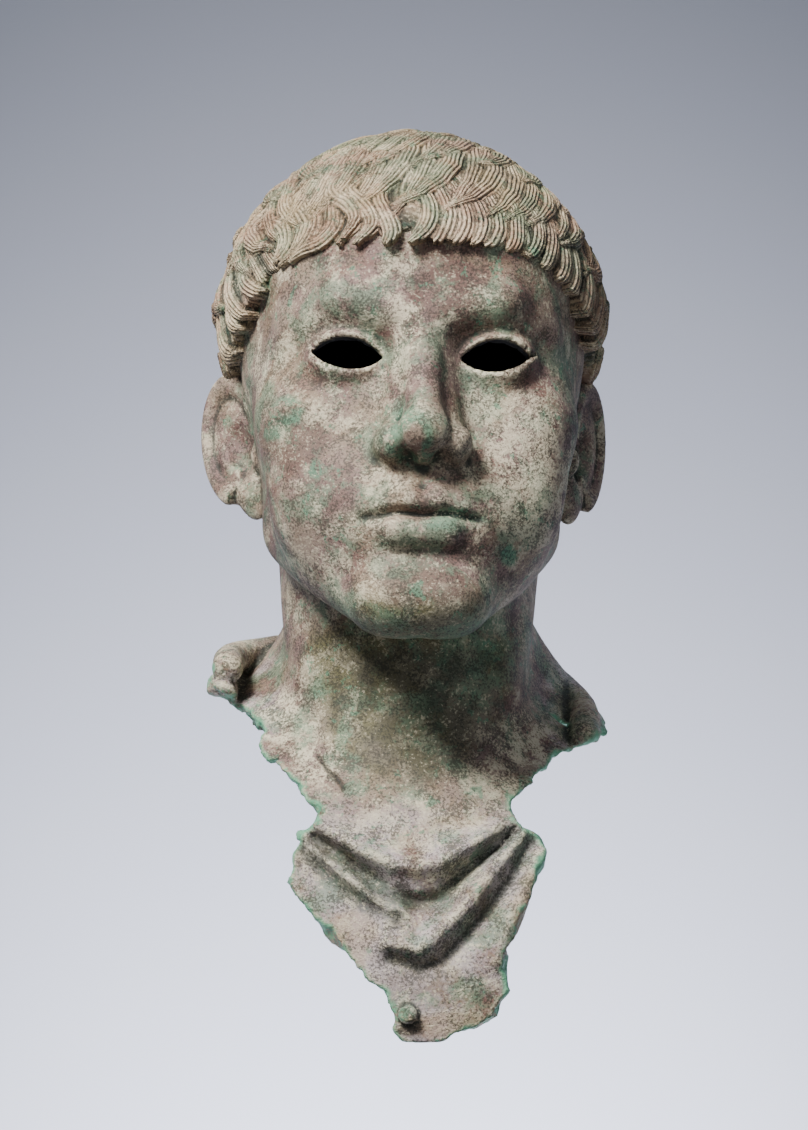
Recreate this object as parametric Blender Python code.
"""Hollow-cast bronze head with a broken collar and a tongue of draped cloth, lying on its back.

The figure is worked out as a signed distance field, in 240ths of the head's height, standing
upright: X to the viewer's right, Y to the back, Z up, with the origin in the neck at the height
of the chin. The field is skinned with one closed mesh, which is laid on its back, thinned out
and cut flat where it touches the ground. In the part's own frame the face looks up along +Z,
the crown points along +Y, and the origin is on the ground, in the flat under the head.
"""

import math

import bpy
import numpy as np
from mathutils import Matrix, Vector

# Driving sizes, in metres
HEAD_HEIGHT = 0.245  # from under the chin to the top of the hair
WALL = 0.0050  # thickness of the cast bronze
MESH_STEP = 0.0030  # spacing of the grid that the field is skinned on
TRIANGLES = 9700  # what the whole skin is thinned out to
PLAIN_TRIANGLES = 6300  # what all but the face's features is thinned out to before that

# The pose of the head on the neck, and of the bust on the ground, in degrees
HEAD_PITCH = 6.0  # chin raised
HEAD_YAW = 3.0  # face turned to the viewer's right
HEAD_ROLL = 0.8  # crown leant to the viewer's right
REST_TILT = 4.6  # how far the bust turns for the back of the head and the collar to touch down
REST_SPOT = (-0.003, 0.140, -0.0963)  # where the head rests, from the neck's axis, in metres

UNIT = HEAD_HEIGHT / 240.0  # one unit of carving, in metres

# Places in the upright bust, in units
HEAD_AT = np.array([0.5, -10.0, 104.0])  # between the eyes' height and the ears
NECK_FOOT = np.array([-1.0, 18.0, -110.0])
NECK_HEAD = np.array([-1.5, 0.0, 60.0])
NECK_WIDE, NECK_DEEP = 53.0, 56.0
YOKE_AT = np.array([0.0, 30.0, -145.0])
YOKE_RADII = np.array([160.0, 101.0, 128.0])
YOKE_SLOPE = 0.11  # the viewer's right shoulder hangs lower

# Places in the head, in units from HEAD_AT
MOUTH = -70.5
EYE_APART = 62.0
EYE_WIDE, EYE_HIGH = 30.0, 14.0
CRANIUM_AT = np.array([0.0, 14.0, 31.0])
CRANIUM_RADII = np.array([74.0, 91.0, 78.0])
HAIR_AT = np.array([0.0, 8.0, 36.0])
HAIR_RADII = np.array([87.0, 105.0, 82.0])
HAIR_POWER = 1.88  # a little more pointed than an ellipsoid
CROWN = np.array([0.10, 0.42, 0.90])  # direction of the whorl from the middle of the hair
LOCK_HIGH = 4.2  # how far the locks stand over the hair's ground
LOCK_WIDE = 21.0
FRONT_LOCK_WIDE = 21.0
LOCK_LONG = 62.0
LOCK_STEPS = 8


def smooth_min(a, b, k):
    """The union of two fields, with a fillet about k wide."""
    h = np.clip(0.5 + 0.5 * (b - a) / k, 0.0, 1.0)
    return b * (1.0 - h) + a * h - k * h * (1.0 - h)


def smooth_max(a, b, k):
    """The part that two fields share, with a rounding about k wide."""
    return -smooth_min(-a, -b, k)


def egg(p, at, radii, power=2.0):
    """A rounded form with its own radius along each axis; a higher power makes it squarer."""
    q = np.abs(p - np.asarray(at)) / radii
    size = (q**power).sum(axis=1) ** (1.0 / power) + 1e-9
    slope = np.linalg.norm((q / size[:, None]) ** (power - 1.0) / radii, axis=1)
    return (size - 1.0) / np.maximum(slope, 1e-6)


def round_bar(p, a, b, radius_a, radius_b):
    """A bar from a to b with round ends and a radius that changes evenly."""
    a, b = np.asarray(a, float), np.asarray(b, float)
    along = np.clip((p - a) @ (b - a) / ((b - a) @ (b - a)), 0.0, 1.0)
    apart = np.linalg.norm(p - a - along[:, None] * (b - a), axis=1)
    return apart - radius_a - (radius_b - radius_a) * along


def bars(p, points, radii, k):
    """A string of round bars through the points, blended into one another."""
    field = round_bar(p, points[0], points[1], radii[0], radii[1])
    for n in range(1, len(points) - 1):
        bar = round_bar(p, points[n], points[n + 1], radii[n], radii[n + 1])
        field = smooth_min(field, bar, k)
    return field


def bump(x, at, width):
    return np.exp(-(((x - at) / width) ** 2))


def ease(x, start, end):
    """0 before start, 1 after end, and a smooth step between."""
    t = np.clip((x - start) / (end - start), 0.0, 1.0)
    return t * t * (3.0 - 2.0 * t)


def turned(degrees, axis):
    return np.array(Matrix.Rotation(math.radians(degrees), 3, axis))


HEAD_TURN = turned(HEAD_ROLL, "Y") @ turned(HEAD_YAW, "Z") @ turned(-HEAD_PITCH, "X")


def curve(points, steps):
    """A smooth line through the points, with steps pieces between each pair."""
    points = np.array(points, float)
    ends = np.concatenate([[2 * points[0] - points[1]], points, [2 * points[-1] - points[-2]]])
    line = []
    for a, b, c, d in zip(ends[:-3], ends[1:-2], ends[2:-1], ends[3:]):
        for t in np.arange(steps) / steps:
            line.append(
                0.5 * (2 * b + (c - a) * t + (2 * a - 5 * b + 4 * c - d) * t**2
                       + (3 * b - a - 3 * c + d) * t**3)
            )
    return np.array(line + [points[-1]])


def into_head(p):
    """Points of the bust, in the head's own directions."""
    return (p - HEAD_AT) @ HEAD_TURN


# The face, in the head's directions: heights, half widths and fronts of a smooth mask
MASK_HEIGHTS = [-122, -112, -100, -85, -68, -48, -20, 0, 22, 50, 65, 80, 98]
MASK_WIDTHS = [18, 28, 39, 49, 57, 63, 68, 71, 72, 71, 67, 59, 44]
MASK_FRONTS = [74, 80, 83, 83, 84, 84, 83, 82, 88, 89, 83, 72, 50]
MASK_MIDDLE = -6.0


def mask(p):
    """The front of the head as one smooth form, without its features."""
    wide = np.interp(p[:, 2], MASK_HEIGHTS, MASK_WIDTHS)
    front = np.interp(p[:, 2], MASK_HEIGHTS, MASK_FRONTS)
    deep = np.where(p[:, 1] < MASK_MIDDLE, front + MASK_MIDDLE, 42.0)
    field = egg(p[:, :2], (0.0, MASK_MIDDLE), np.stack([wide, deep], axis=1), 2.3)
    return np.maximum(field, p[:, 2] - 98.0)


def head_mass(p, side):
    """Skull, jaw, cheeks, sockets and nose: the forms that the inside of the casting follows."""
    chin_plane = (p - [0.0, -84.0, -117.0]) @ np.array([0.0, 0.42, -0.907])
    field = smooth_max(mask(p), chin_plane, 20.0)
    field = smooth_min(field, egg(p, CRANIUM_AT, CRANIUM_RADII), 14.0)
    field = smooth_min(field, round_bar(side, (16, -72, -103), (47, -10, -64), 12.5, 13.0), 18.0)
    field = smooth_min(field, egg(side, (46, -50, -24), (19, 23, 17)), 22.0)
    field = smooth_min(field, egg(side, (35, -56, -58), (24, 24, 26)), 22.0)
    field = smooth_min(field, egg(p, (0, -81, -103), (22, 15, 14)), 14.0)
    field = smooth_min(field, egg(p, (0, -78, -66), (31, 17, 22)), 18.0)
    field = smooth_max(field, -egg(side, (83, -52, 24), (13, 24, 22)), 16.0)
    socket = smooth_min(
        egg(side, (31, -95, 0), (20, 16, 12)),
        egg(side, (15.5, -94, 5), (8, 9, 9)),
        9.0,
    )
    field = smooth_max(field, -socket, 10.0)
    brow = bars(side, [(10, -83, 18), (33, -79, 23), (53, -59, 13)], [7.0, 6.8, 3.5], 8.0)
    field = smooth_min(field, brow, 10.0)
    bridge = bars(p, [(0, -82, 14), (0, -92, -6), (0, -104, -35)], [6.6, 6.4, 8.0], 6.0)
    field = smooth_min(field, bridge, 9.0)
    return smooth_min(field, round_bar(side, (5, -79, 2), (9.5, -90, -40), 5.5, 8.0), 9.0)


def head_features(field, p, side):
    """Lids, nose tip, lips and chin, added to the head's mass."""
    lids = egg(side, (31, -67, -1), (18.5, 17.5, 17.0))
    lids = lids - 1.2 * bump(almond(side), 1.5, 3.0)
    field = smooth_min(field, lids, 3.0)
    field = smooth_min(field, egg(p, (0, -105, -38), (10, 10, 9)), 6.0)
    field = smooth_min(field, egg(side, (13.5, -95, -41), (7, 11, 8)), 3.5)
    field = smooth_min(field, egg(p, (0, -99, -46), (4, 9, 4)), 3.0)
    field = smooth_max(field, -egg(side, (7, -101, -50.5), (4, 6.5, 5)), 2.0)
    field = smooth_max(field, -egg(p, (0, -100, -87), (21, 8, 6)), 10.0)
    upper = bars(
        side, [(0, -93, -66), (6, -93.5, -64.5), (15, -90, -67), (25, -81, -70)], [5.4, 5.6, 4.8, 2], 2.0
    )
    lower = bars(side, [(0, -91, -76.5), (10, -90.5, -76.5), (23, -81, -71.5)], [6.6, 6.6, 2.5], 2.0)
    field = smooth_min(field, upper, 3.5)
    field = smooth_min(field, lower, 3.5)
    line = MOUTH - 0.8 + 1.4 * bump(side[:, 0], 9, 8)
    front = ease(-p[:, 1], 74, 82)
    groove = bump(p[:, 2], line, 2.3) * (1.0 - ease(side[:, 0], 22, 28))
    philtrum = bump(p[:, 0], 0, 3.4) * ease(p[:, 2], -63, -59) * (1.0 - ease(p[:, 2], -53, -49))
    fold = bump(side[:, 0] + 0.45 * p[:, 2], -2.0, 3.5) * bump(p[:, 2], -58, 16)
    return field + front * (2.4 * groove + 1.3 * philtrum + 0.8 * fold)


def almond(side):
    """Distance in front view to the edge of the eye's opening, negative inside."""
    half, high = EYE_WIDE / 2, EYE_HIGH / 2
    radius = (half * half + high * high) / (2 * high)
    x = side[:, 0] - EYE_APART / 2
    z = side[:, 2] + 1.0 - 0.07 * x
    upper = np.hypot(x, z + radius - high * 1.1) - radius
    lower = np.hypot(x, z - radius + high * 0.9) - radius
    return np.maximum(upper, lower)


def eye_hole(side):
    """The opening of each eye, cut straight through the wall along Y."""
    return np.maximum(almond(side), side[:, 1] + 30.0)


EAR_AT = np.array([73.0, 13.0, -23.0])
EAR_OUT = (44.0, 28.0)  # how far the ears stand off the skull, left and right, in degrees
EAR_LEAN = math.radians(9.0)


def ear(p, side):
    """Both ears, each in the plane of U (backwards and outwards) and V (up, leaning back)."""
    angle = np.radians(np.where(p[:, 0] < 0, EAR_OUT[0], EAR_OUT[1]))
    x, y, z = (side - EAR_AT).T
    back = x * np.sin(angle) + y * np.cos(angle)
    out = x * np.cos(angle) - y * np.sin(angle)
    u = back * math.cos(EAR_LEAN) - z * math.sin(EAR_LEAN)
    v = z * math.cos(EAR_LEAN) + back * math.sin(EAR_LEAN)
    q = np.stack([u, v, out], axis=1)
    shell = egg(q, (1, 4, 0), (16, 28, 5.5))
    lobe = egg(q, (-7, -23, 0.5), (8.5, 10, 4.5))
    field = smooth_min(shell, lobe, 5.0)
    rim = np.hypot(q[:, 0] - 1.0, (q[:, 1] - 5.0) * 0.60)
    helix = np.hypot(rim - 15.0, q[:, 2] - 3.5) - 3.2
    helix = np.maximum(helix, -(q[:, 1] + 14.0) - 1.3 * q[:, 0])
    field = smooth_min(field, helix, 2.0)
    field = smooth_max(field, -egg(q, (-3, -2, 9), (9.0, 15, 9.5)), 2.5)
    inner = np.hypot(np.hypot(q[:, 0] + 2.0, (q[:, 1] - 3.0) * 0.62) - 9.2, q[:, 2] - 2.2) - 2.0
    inner = np.maximum(inner, -q[:, 0] - 1.0)
    field = smooth_min(field, inner, 2.0)
    return smooth_min(field, egg(q, (-14, -7, 3.0), (4.0, 6.5, 4.5)), 2.5)


# The hairline's height in the head, by angle from the front round to the nape
LINE_ANGLES = [0, 25, 38, 48, 60, 72, 84, 96, 108, 122, 136, 155, 180]
LINE_HEIGHTS = [55, 55, 52, 46, 32, 18, 11, 8, 2, -22, -42, -52, -56]


def hairline(p):
    """How far a point lies under the hairline."""
    turn = np.degrees(np.arctan2(np.abs(p[:, 0]), -(p[:, 1] - 6.0)))
    return np.interp(turn, LINE_ANGLES, LINE_HEIGHTS) - p[:, 2]


POLE = CROWN / np.linalg.norm(CROWN)
FRONT = np.cross(np.cross(POLE, [0.0, -1.0, 0.0]), POLE)
FRONT = FRONT / np.linalg.norm(FRONT)
RIGHT = np.cross(POLE, FRONT)
BALL = HAIR_RADII.mean()  # radius of the ball that the hair's locks are laid out on


def on_ball(p):
    """The hair's points moved to a ball, so that distances along it are lengths of hair."""
    q = (p - HAIR_AT) / HAIR_RADII
    return q / np.maximum(np.linalg.norm(q, axis=1), 1e-6)[:, None] * BALL


def outward(turn):
    return math.cos(turn) * FRONT + math.sin(turn) * RIGHT


def reach(turn):
    """Length of hair from the whorl to the hairline in one direction, turn in radians."""
    away = np.arange(10.0, 290.0, 2.0)
    angle = (away / BALL)[:, None]
    place = HAIR_AT + (np.cos(angle) * POLE + np.sin(angle) * outward(turn)) * HAIR_RADII
    under = np.nonzero(hairline(place) > 0.0)[0]
    return away[under[0]] if len(under) else away[-1]


def lock_spine(turn, start, long, bend):
    """Points along a lock on the ball; it sways a little and hooks by bend at its tip."""
    angle = start / BALL
    place = math.cos(angle) * POLE + math.sin(angle) * outward(turn)
    heading = -math.sin(angle) * POLE + math.cos(angle) * outward(turn)
    step = long / LOCK_STEPS / BALL
    points, bent = [place * BALL], 0.0
    for n in range(1, LOCK_STEPS + 1):
        share = n / LOCK_STEPS
        wanted = bend * (1.35 * share**2.2 - 0.35 * math.sin(math.pi * share))
        across = np.cross(place, heading)
        swing = wanted - bent
        bent = wanted
        heading = heading * math.cos(swing) + across * math.sin(swing)
        ahead = place * math.cos(step) + heading * math.sin(step)
        heading = heading * math.cos(step) - place * math.sin(step)
        place = ahead
        points.append(place * BALL)
    return np.array(points)


# Locks round the forehead, each as points (turn from the front in degrees, way from the whorl)
FRONT_LOCKS = [
    [(-66, 130), (-74, 143), (-77, 155), (-75, 169), (-70, 181), (-60, 188)],
    [(-58, 135), (-50, 133), (-42, 142), (-38, 153), (-40, 165), (-47, 173)],
    [(-36, 124), (-31, 137), (-26, 149), (-25, 159), (-30, 169), (-38, 174)],
    [(-17, 118), (-20, 133), (-15, 147), (-9, 160), (-10, 170), (-17, 178), (-25, 179)],
    [(0, 118), (5, 137), (8, 152), (7, 165), (1, 174), (-7, 180)],
    [(15, 114), (21, 131), (25, 146), (24, 158), (19, 169), (10, 176)],
    [(29, 109), (35, 124), (41, 138), (42, 151), (37, 163), (28, 169)],
    [(45, 114), (52, 129), (57, 144), (57, 158), (51, 169), (42, 173)],
    [(64, 114), (73, 127), (78, 140), (78, 154), (73, 167), (63, 173)],
]


def laid_lock(marks):
    """Points along a lock that is given by its marks on the ball."""
    line = curve([(turn, away) for turn, away in marks], LOCK_STEPS)
    ends = np.linspace(0, len(line) - 1, LOCK_STEPS + 1).round().astype(int)
    angles = line[ends, 1] / BALL
    turns = np.radians(line[ends, 0])
    across = np.cos(turns)[:, None] * FRONT + np.sin(turns)[:, None] * RIGHT
    return (np.cos(angles)[:, None] * POLE + np.sin(angles)[:, None] * across) * BALL


def wobble(*numbers):
    """A fixed, uneven number from -1 to 1."""
    return math.sin(12.9898 * numbers[0] + 78.233 * numbers[-1] + 3.1)


def locks():
    """Rows of locks from the hairline up to the whorl, each as (points, half width, height).

    Their tips hook to the viewer's left over the forehead and forwards over both temples; the
    two directions part over the left temple. Each row overlaps the roots of the row below it.
    """
    found = [(laid_lock(marks), FRONT_LOCK_WIDE / 2, 1.0) for marks in FRONT_LOCKS]
    front = np.concatenate([points[3:] for points, _, _ in found])
    for row in range(7):
        turn = -math.pi + 0.37 * row
        end = turn + 2 * math.pi
        count = 0
        while turn < end:
            count += 1
            aim = (turn + math.pi) % (2 * math.pi) - math.pi
            tip = reach(aim) - 33.0 * row
            jitter = wobble(row + 1.0, count)
            ring = BALL * max(math.sin(min(tip / BALL, 2.6)), 0.3)
            turn += 0.80 * LOCK_WIDE / ring * (1.0 + 0.2 * jitter)
            long = LOCK_LONG * (1.0 + 0.12 * wobble(count, row + 2.0))
            start = tip - 0.78 * long
            if tip < 26.0:
                continue
            if start < 4.0:
                long, start = tip / 0.78, 4.0
            degrees = math.degrees(aim)
            hook = -1.0 if -42 < degrees < 128 else 1.0
            if abs(degrees) > 128:
                hook = 0.5 * (1.0 if degrees > 0 else -1.0)
            bend = hook * math.radians(70.0 if row == 0 else 52.0) * (1.0 + 0.3 * jitter)
            wide = 0.5 * LOCK_WIDE * (1.0 + 0.15 * jitter)
            high = 1.0 + 0.12 * wobble(row, count)
            spine = lock_spine(aim, start, long, bend)
            apart = np.linalg.norm(spine[-4:, None] - front, axis=2).min(axis=1)
            if apart.min() > 0.4 * LOCK_WIDE:
                found.append((spine, wide, high))
    return found


LOCKS = locks()


def lock_relief(p):
    """Height of the locks over the hair's ground, in units."""
    flat = on_ball(p)
    height = np.zeros(len(p))
    for points, wide, high in LOCKS:
        middle = points.mean(axis=0)
        far = np.linalg.norm(points - middle, axis=1).max() + wide
        near = np.nonzero(((flat - middle) ** 2).sum(axis=1) < far * far)[0]
        if not len(near):
            continue
        q = flat[near]
        best = np.full(len(near), 1e9)
        share = np.zeros(len(near))
        for n, (a, b) in enumerate(zip(points[:-1], points[1:])):
            t = np.clip((q - a) @ (b - a) / ((b - a) @ (b - a)), 0.0, 1.0)
            apart = ((q - a - t[:, None] * (b - a)) ** 2).sum(axis=1)
            closer = apart < best
            best = np.where(closer, apart, best)
            share = np.where(closer, (n + t) / LOCK_STEPS, share)
        half = wide * (0.55 + 0.45 * np.sin(np.pi * share)) * (1.0 - 0.4 * ease(share, 0.8, 1.0))
        across = np.clip(np.sqrt(best) / half, 0.0, 1.0)
        lift = (0.30 + 0.70 * ease(share, 0.0, 0.8)) * (1.0 - across**2.2)
        height[near] = np.maximum(height[near], lift * high * LOCK_HIGH)
    return height


def hair(p):
    cap = egg(p, HAIR_AT, HAIR_RADII, HAIR_POWER)
    relief = np.full(len(p), 0.4 * LOCK_HIGH)
    near = np.abs(cap) < 16.0
    relief[near] = lock_relief(p[near])
    return smooth_max(cap + LOCK_HIGH - relief, hairline(p) + 4.0 - 2.0 * relief, 3.5)


def neck(p):
    axis = NECK_HEAD - NECK_FOOT
    up = np.clip((p[:, 2] - NECK_FOOT[2]) / axis[2], -0.5, 1.0)
    middle = NECK_FOOT + up[:, None] * axis
    radii = np.array([NECK_WIDE, NECK_DEEP])
    return np.maximum(egg(p[:, :2] - middle[:, :2], (0.0, 0.0), radii), p[:, 2] - 70.0)


def body_mass(p, side):
    """Neck, muscles and shoulders, without the folds of cloth."""
    field = neck(p)
    muscle = bars(side, [(46, 24, 34), (33, -20, -20), (12, -36, -62)], [11, 9, 7], 8.0)
    field = smooth_min(field, muscle, 12.0)
    field = smooth_min(field, round_bar(side, (16, 46, 16), (70, 40, -55), 24, 24), 22.0)
    tilted = p + np.stack([np.zeros(len(p)), np.zeros(len(p)), YOKE_SLOPE * p[:, 0]], axis=1)
    return smooth_min(field, egg(tilted, YOKE_AT, YOKE_RADII), 20.0)


# The middle of the collar's upper roll, from the tip on the viewer's left round the nape
COLLAR = [
    (-79, -6, -19), (-78, 22, -13), (-65, 52, -7), (-38, 73, 0), (0, 81, 2),
    (38, 73, -5), (63, 52, -18), (75, 22, -31), (76, -4, -44),
]
ROLL_UPPER, ROLL_LOWER = 8.0, 9.0


def chain(p, points, radius):
    """A roll of even thickness along a line."""
    field = np.full(len(p), 1e9)
    for a, b in zip(points[:-1], points[1:]):
        field = np.minimum(field, round_bar(p, a, b, radius, radius))
    return field


# The folds over the chest in front view, as (x, z): lines that stand up and lines that lie low
CRESTS = [
    [(-44, -80), (-30, -88), (-17, -95), (-7, -99), (3, -100), (13, -98), (22, -93), (43, -84)],
    [(-46, -90), (-36, -97), (-25, -107), (-16, -114), (-8, -119)],
    [(45, -87), (35, -101), (26, -114), (17, -123), (11, -129), (3, -135), (-8, -133)],
    [(53, -96), (49, -114), (41, -129), (38, -140)],
]
VALLEYS = [
    [(-40, -90), (-28, -98), (-18, -105), (-10, -113), (3, -116), (13, -114), (20, -105), (42, -86)],
    [(-46, -92), (-37, -101), (-28, -109), (-19, -116), (-7, -121)],
    [(51, -91), (43, -104), (34, -116), (24, -129), (13, -140), (4, -142), (-8, -138)],
    [(55, -107), (51, -117), (43, -132), (39, -143)],
]
FOLD_HIGH = 9.0


def line_distance(x, z, lines):
    best = np.full(len(x), 1e9)
    for line in lines:
        for (ax, az), (bx, bz) in zip(line[:-1], line[1:]):
            dx, dz = bx - ax, bz - az
            t = np.clip(((x - ax) * dx + (z - az) * dz) / (dx * dx + dz * dz), 0.0, 1.0)
            best = np.minimum(best, (x - ax - t * dx) ** 2 + (z - az - t * dz) ** 2)
    return np.sqrt(best)


def fold_relief(p):
    """Height of the folds of cloth over the chest."""
    shown = ease(-p[:, 2], 55, 80) * (1.0 - ease(p[:, 1], -30, 0))
    height = np.zeros(len(p))
    on = np.nonzero(shown > 0)[0]
    x, z = p[on, 0], p[on, 2]
    crest = np.sqrt(line_distance(x, z, CRESTS) ** 2 + 1.5**2)
    valley = np.sqrt(line_distance(x, z, VALLEYS) ** 2 + 1.0)
    height[on] = FOLD_HIGH * valley / (valley + crest) * shown[on]
    return height


def cloth(p, field):
    """The two rolls of the collar, the folds over the chest and the small boss under them."""
    ring = curve(COLLAR, 3)
    outer = (ring - [0.0, 16.0, 0.0]) * [1.04, 1.08, 1.0] + [0.0, 16.0, -14.0]
    near = np.nonzero(field < 30.0)[0]
    rolls = smooth_min(chain(p[near], ring, ROLL_UPPER), chain(p[near], outer, ROLL_LOWER), 2.0)
    field = field.copy()
    field[near] = smooth_min(field[near], rolls, 4.0)
    field = field - fold_relief(p)
    boss = np.hypot(p[:, 0] + 1.0, p[:, 2] + 162.0) - 3.8
    return smooth_min(field, np.maximum(boss, field - 3.5), 1.5)


# The break all round, as the front shows it
BREAK = [
    (-87, -23), (-77, -28), (-71, -34), (-66, -38), (-63, -49), (-51, -62), (-40, -73), (-37, -78),
    (-46, -86), (-49, -94), (-48, -101), (-49, -109), (-44, -117), (-36, -126), (-25, -138),
    (-15, -148), (-8, -155), (-4, -162), (-7, -168), (-3, -173), (6, -174), (25, -169), (37, -164),
    (39, -151), (41, -136), (46, -122), (54, -107), (55, -94), (53, -88), (47, -85), (42, -79),
    (41, -73), (47, -66), (58, -60), (64, -52), (70, -49), (82, -46), (86, -37), (88, -28),
    (130, 40), (130, 300), (-130, 300), (-130, 40), (-89, -12),
]
BACK_BREAK = -34.0  # height of the break behind the neck


def outline_distance(x, z):
    """Signed distance in the front view to the line of the break, inside negative."""
    inside = np.zeros(len(x), bool)
    for (ax, az), (bx, bz) in zip(BREAK, BREAK[1:] + BREAK[:1]):
        crosses = (az > z) != (bz > z)
        inside ^= crosses & (x < (bx - ax) * (z - az) / ((bz - az) or 1e-9) + ax)
    best = line_distance(x, z, [BREAK + BREAK[:1]])
    return np.where(inside, -best, best)


def ragged(p):
    """A small unevenness for the broken edges."""
    x, y, z = p[:, 0], p[:, 1], p[:, 2]
    wave = np.sin(0.55 * x + 1.3 * np.sin(0.31 * z)) + np.sin(0.71 * z + 1.1 * np.sin(0.37 * y))
    return 0.8 * wave + 0.5 * np.sin(1.21 * x - 0.83 * z + 0.5 * y)


def broken_off(p):
    """Positive where the bust is lost: outside the front's outline, or low at the back."""
    front = outline_distance(p[:, 0], p[:, 2]) + ragged(p)
    back_edge = BACK_BREAK + 8.0 * np.sin(0.045 * p[:, 0] + 0.8)
    behind = np.minimum(back_edge - p[:, 2] + ragged(p), p[:, 1] - 4.0)
    return np.maximum(front, behind)


def bust(p):
    """The whole casting as one field, negative in the bronze."""
    q = into_head(p)
    head_side = np.stack([np.abs(q[:, 0]), q[:, 1], q[:, 2]], axis=1)
    side = np.stack([np.abs(p[:, 0]), p[:, 1], p[:, 2]], axis=1)
    skull = head_mass(q, head_side)
    body = body_mass(p, side)
    mass = smooth_min(skull, body, 10.0)
    skin = smooth_min(head_features(skull, q, head_side), body, 10.0)
    skin = smooth_min(skin, ear(q, head_side), 2.0)
    skin = smooth_min(skin, hair(q), 1.2)
    skin = cloth(p, skin)
    wall = WALL / UNIT
    hollow = smooth_max(mass + wall, skin + 0.85 * wall, 2.0)
    skin = smooth_max(skin, -eye_hole(head_side), 5.0)
    return smooth_max(smooth_max(skin, -hollow, 2.0), broken_off(p), 1.2)


def loop_table():
    """For each of a cell's 256 sign patterns, which surface sheet each of its 12 edges is on."""
    corners = [(i & 1, i >> 1 & 1, i >> 2 & 1) for i in range(8)]
    edges = [(a, a | 1 << axis) for axis in range(3) for a in range(8) if not a & 1 << axis]
    table = np.full((256, 12), -1)
    for case in range(256):
        joined = list(range(12))

        def root(e):
            while joined[e] != e:
                e = joined[e]
            return e

        cut = [e for e, (a, b) in enumerate(edges) if (case >> a & 1) != (case >> b & 1)]
        for axis in range(3):
            for level in range(2):
                face = [e for e in cut if all(corners[c][axis] == level for c in edges[e])]
                if len(face) == 2:
                    joined[root(face[0])] = root(face[1])
                for corner in range(8):
                    meet = [e for e in face if corner in edges[e]]
                    if len(face) == 4 and len(meet) == 2 and case >> corner & 1:
                        joined[root(meet[0])] = root(meet[1])
        names = sorted({root(e) for e in cut})
        for e in cut:
            table[case, e] = names.index(root(e))
    return table, edges


def sampled(field, low, high, step):
    """The field on a grid, worked out in full only near its surface."""
    coarse_step = 4 * step
    count = np.ceil((high - low) / coarse_step).astype(int) + 1
    axes = [low[k] + np.arange(count[k]) * coarse_step for k in range(3)]
    points = np.stack(np.meshgrid(*axes, indexing="ij"), axis=-1).reshape(-1, 3)
    coarse = field(points).reshape(count)
    near = np.abs(coarse) < 2.6 * coarse_step
    fine_count = (count - 1) * 4 + 1
    picks = [np.minimum((np.arange(n) + 2) // 4, c - 1) for n, c in zip(fine_count, count)]
    values = coarse[np.ix_(*picks)].copy()
    wanted = near[np.ix_(*picks)]
    index = np.argwhere(wanted)
    values[wanted] = field(low + index * step)
    values[values == 0.0] = 1e-6
    return values


def skin_mesh(values, low, step):
    """Surface of the field: a vertex for each sheet in each cell, a quad for each crossing."""
    solid = values < 0
    table, edges = loop_table()
    case = np.zeros(np.array(values.shape) - 1, int)
    size = case.shape
    for corner in range(8):
        i, j, k = corner & 1, corner >> 1 & 1, corner >> 2 & 1
        part = solid[i : i + size[0], j : j + size[1], k : k + size[2]]
        case |= part.astype(int) << corner
    cells = np.argwhere((case > 0) & (case < 255))
    loops = table[case[tuple(cells.T)]]
    sheets = loops.max(axis=1) + 1
    first = np.concatenate([[0], np.cumsum(sheets)[:-1]])
    total = int(sheets.sum())
    place = np.zeros((total, 3))
    weight = np.zeros(total)
    corner_at = np.array([(i & 1, i >> 1 & 1, i >> 2 & 1) for i in range(8)])
    for e, (a, b) in enumerate(edges):
        on = np.nonzero(loops[:, e] >= 0)[0]
        va = values[tuple((cells[on] + corner_at[a]).T)]
        vb = values[tuple((cells[on] + corner_at[b]).T)]
        t = (va / (va - vb))[:, None]
        cross = cells[on] + corner_at[a] * (1 - t) + corner_at[b] * t
        target = first[on] + loops[on, e]
        np.add.at(place, target, cross)
        np.add.at(weight, target, 1.0)
    points = low + place / weight[:, None] * step
    number = np.full(size, -1)
    number[tuple(cells.T)] = np.arange(len(cells))
    faces = []
    for axis in range(3):
        one, two = (axis + 1) % 3, (axis + 2) % 3
        step_one, step_two, along = (np.eye(3, dtype=int)[k] for k in (one, two, axis))
        start = solid[tuple(slice(None, -1) if k == axis else slice(None) for k in range(3))]
        end = solid[tuple(slice(1, None) if k == axis else slice(None) for k in range(3))]
        crossing = np.argwhere(start != end)
        outward = start[tuple(crossing.T)]
        quad = []
        for back_one, back_two in ((1, 1), (0, 1), (0, 0), (1, 0)):
            cell = crossing - back_one * step_one - back_two * step_two
            corner = (back_one * step_one + back_two * step_two) @ [1, 2, 4]
            edge = edges.index((corner, corner | 1 << axis))
            row = number[tuple(cell.T)]
            quad.append(first[row] + loops[row, edge])
        quad = np.stack(quad, axis=1)
        faces.append(np.where(outward[:, None], quad, quad[:, ::-1]))
    return points, np.concatenate(faces), np.repeat(cells, sheets, axis=0)


def untangled_mesh(field, low, high, step):
    """The field's surface; where two sheets share an edge, one grid value changes its sign."""
    values = sampled(field, low, high, step)
    while True:
        points, faces, owners = skin_mesh(values, low, step)
        edges = np.concatenate([faces[:, [k, (k + 1) % 4]] for k in range(4)])
        pairs, uses = np.unique(np.sort(edges, axis=1), axis=0, return_counts=True)
        shared = pairs[uses > 2]
        if not len(shared):
            return points, faces
        for a, b in shared:
            start = np.maximum(owners[a], owners[b])
            end = np.minimum(owners[a], owners[b]) + 2
            box = tuple(slice(i, j) for i, j in zip(start, end))
            block = values[box]
            spot = np.unravel_index(np.abs(block).argmin(), block.shape)
            block[spot] = -math.copysign(0.02 * step, block[spot])


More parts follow.
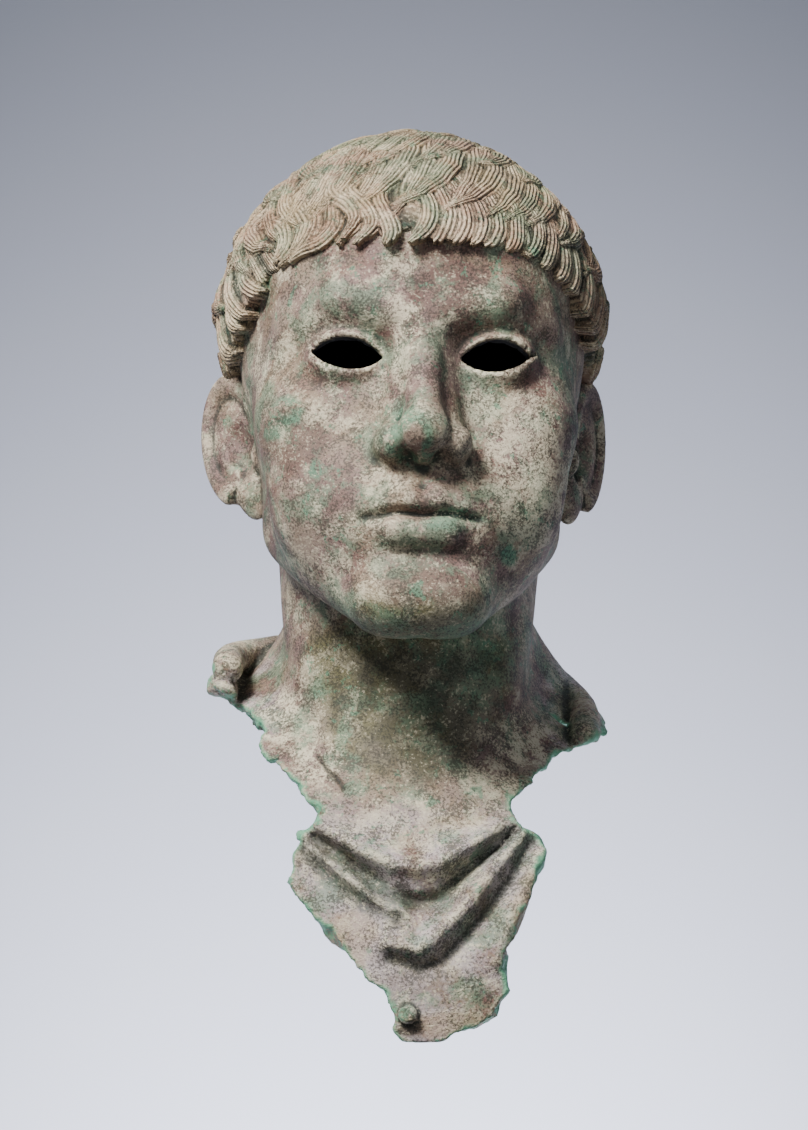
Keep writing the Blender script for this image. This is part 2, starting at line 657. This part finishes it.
def largest(points, faces):
    """The biggest connected surface, without crumbs that the grid left beside it."""
    group = np.arange(len(points))
    edges = np.concatenate([faces[:, [k, (k + 1) % 4]] for k in range(4)])
    while True:
        lower = group.copy()
        np.minimum.at(lower, edges[:, 0], group[edges[:, 1]])
        np.minimum.at(lower, edges[:, 1], group[edges[:, 0]])
        lower = lower[lower]
        if (lower == group).all():
            break
        group = lower
    names, sizes = np.unique(group, return_counts=True)
    kept = group == names[sizes.argmax()]
    renumber = np.cumsum(kept) - 1
    return points[kept], renumber[faces[kept[faces[:, 0]]]]


def settled(field, points, step, rounds=3):
    """The points moved onto the field's surface."""
    for _ in range(rounds):
        value = field(points)
        slope = np.stack(
            [(field(points + d) - field(points - d)) / (0.4 * step) for d in np.eye(3) * 0.2 * step],
            axis=1,
        )
        move = value[:, None] * slope / np.maximum((slope**2).sum(axis=1), 0.05)[:, None]
        length = np.linalg.norm(move, axis=1, keepdims=True)
        points = points - move * np.minimum(1.0, 0.35 * step / np.maximum(length, 1e-9))
    return points


def laid_down(points):
    """Upright points, in units, laid on the back in metres with the head's flat at the origin."""
    return points @ turned(-90.0 + REST_TILT, "X").T * UNIT - REST_SPOT


def spared(points):
    """0 for the points of the face's features, which stay finer, and 1 for the others."""
    q = into_head(points)
    feature = (1 - ease(np.abs(q[:, 0]), 46, 58)) * (1 - ease(q[:, 1], -62, -50))
    feature = feature * ease(q[:, 2], -92, -82) * (1 - ease(q[:, 2], 28, 40))
    return 1.0 - feature


def bronze():
    material = bpy.data.materials.new("patinated_bronze")
    material.use_nodes = True
    shader = material.node_tree.nodes["Principled BSDF"]
    shader.inputs["Base Color"].default_value = (0.30, 0.29, 0.24, 1.0)
    shader.inputs["Roughness"].default_value = 0.75
    shader.inputs["Metallic"].default_value = 0.25
    return material


def ground_cutter(size):
    """A slab under the ground, which cuts the flats that the bust lies on."""
    bpy.ops.mesh.primitive_cube_add(size=size, location=(0.0, 0.0, -size / 2))
    cutter = bpy.context.object
    cutter.name = "ground_cutter"
    cutter.hide_render = True
    cutter.display_type = "WIRE"
    return cutter


def main():
    for thing in list(bpy.data.objects):
        bpy.data.objects.remove(thing)
    low, high = np.array([-112.0, -132.0, -200.0]), np.array([112.0, 122.0, 246.0])
    step = MESH_STEP / UNIT
    points, faces = largest(*untangled_mesh(bust, low, high, step))
    points = settled(bust, points, step)
    mesh = bpy.data.meshes.new("bust")
    mesh.from_pydata(laid_down(points).tolist(), [], faces.tolist())
    mesh.materials.append(bronze())
    thing = bpy.data.objects.new("bust", mesh)
    bpy.context.collection.objects.link(thing)
    weights = spared(points)
    group = thing.vertex_groups.new(name="plain")
    for number, weight in enumerate(weights):
        group.add([number], float(weight), "REPLACE")
    first = PLAIN_TRIANGLES + 2 * int((weights[faces].max(axis=1) < 1.0).sum())
    thin = thing.modifiers.new("thin_out_plain", "DECIMATE")
    thin.ratio = first / (2 * len(faces))
    thin.vertex_group = "plain"
    thin.vertex_group_factor = 1.0
    thin = thing.modifiers.new("thin_out", "DECIMATE")
    thin.ratio = TRIANGLES / first
    flat = thing.modifiers.new("ground_flats", "BOOLEAN")
    flat.operation = "DIFFERENCE"
    flat.object = ground_cutter(2.0)


main()
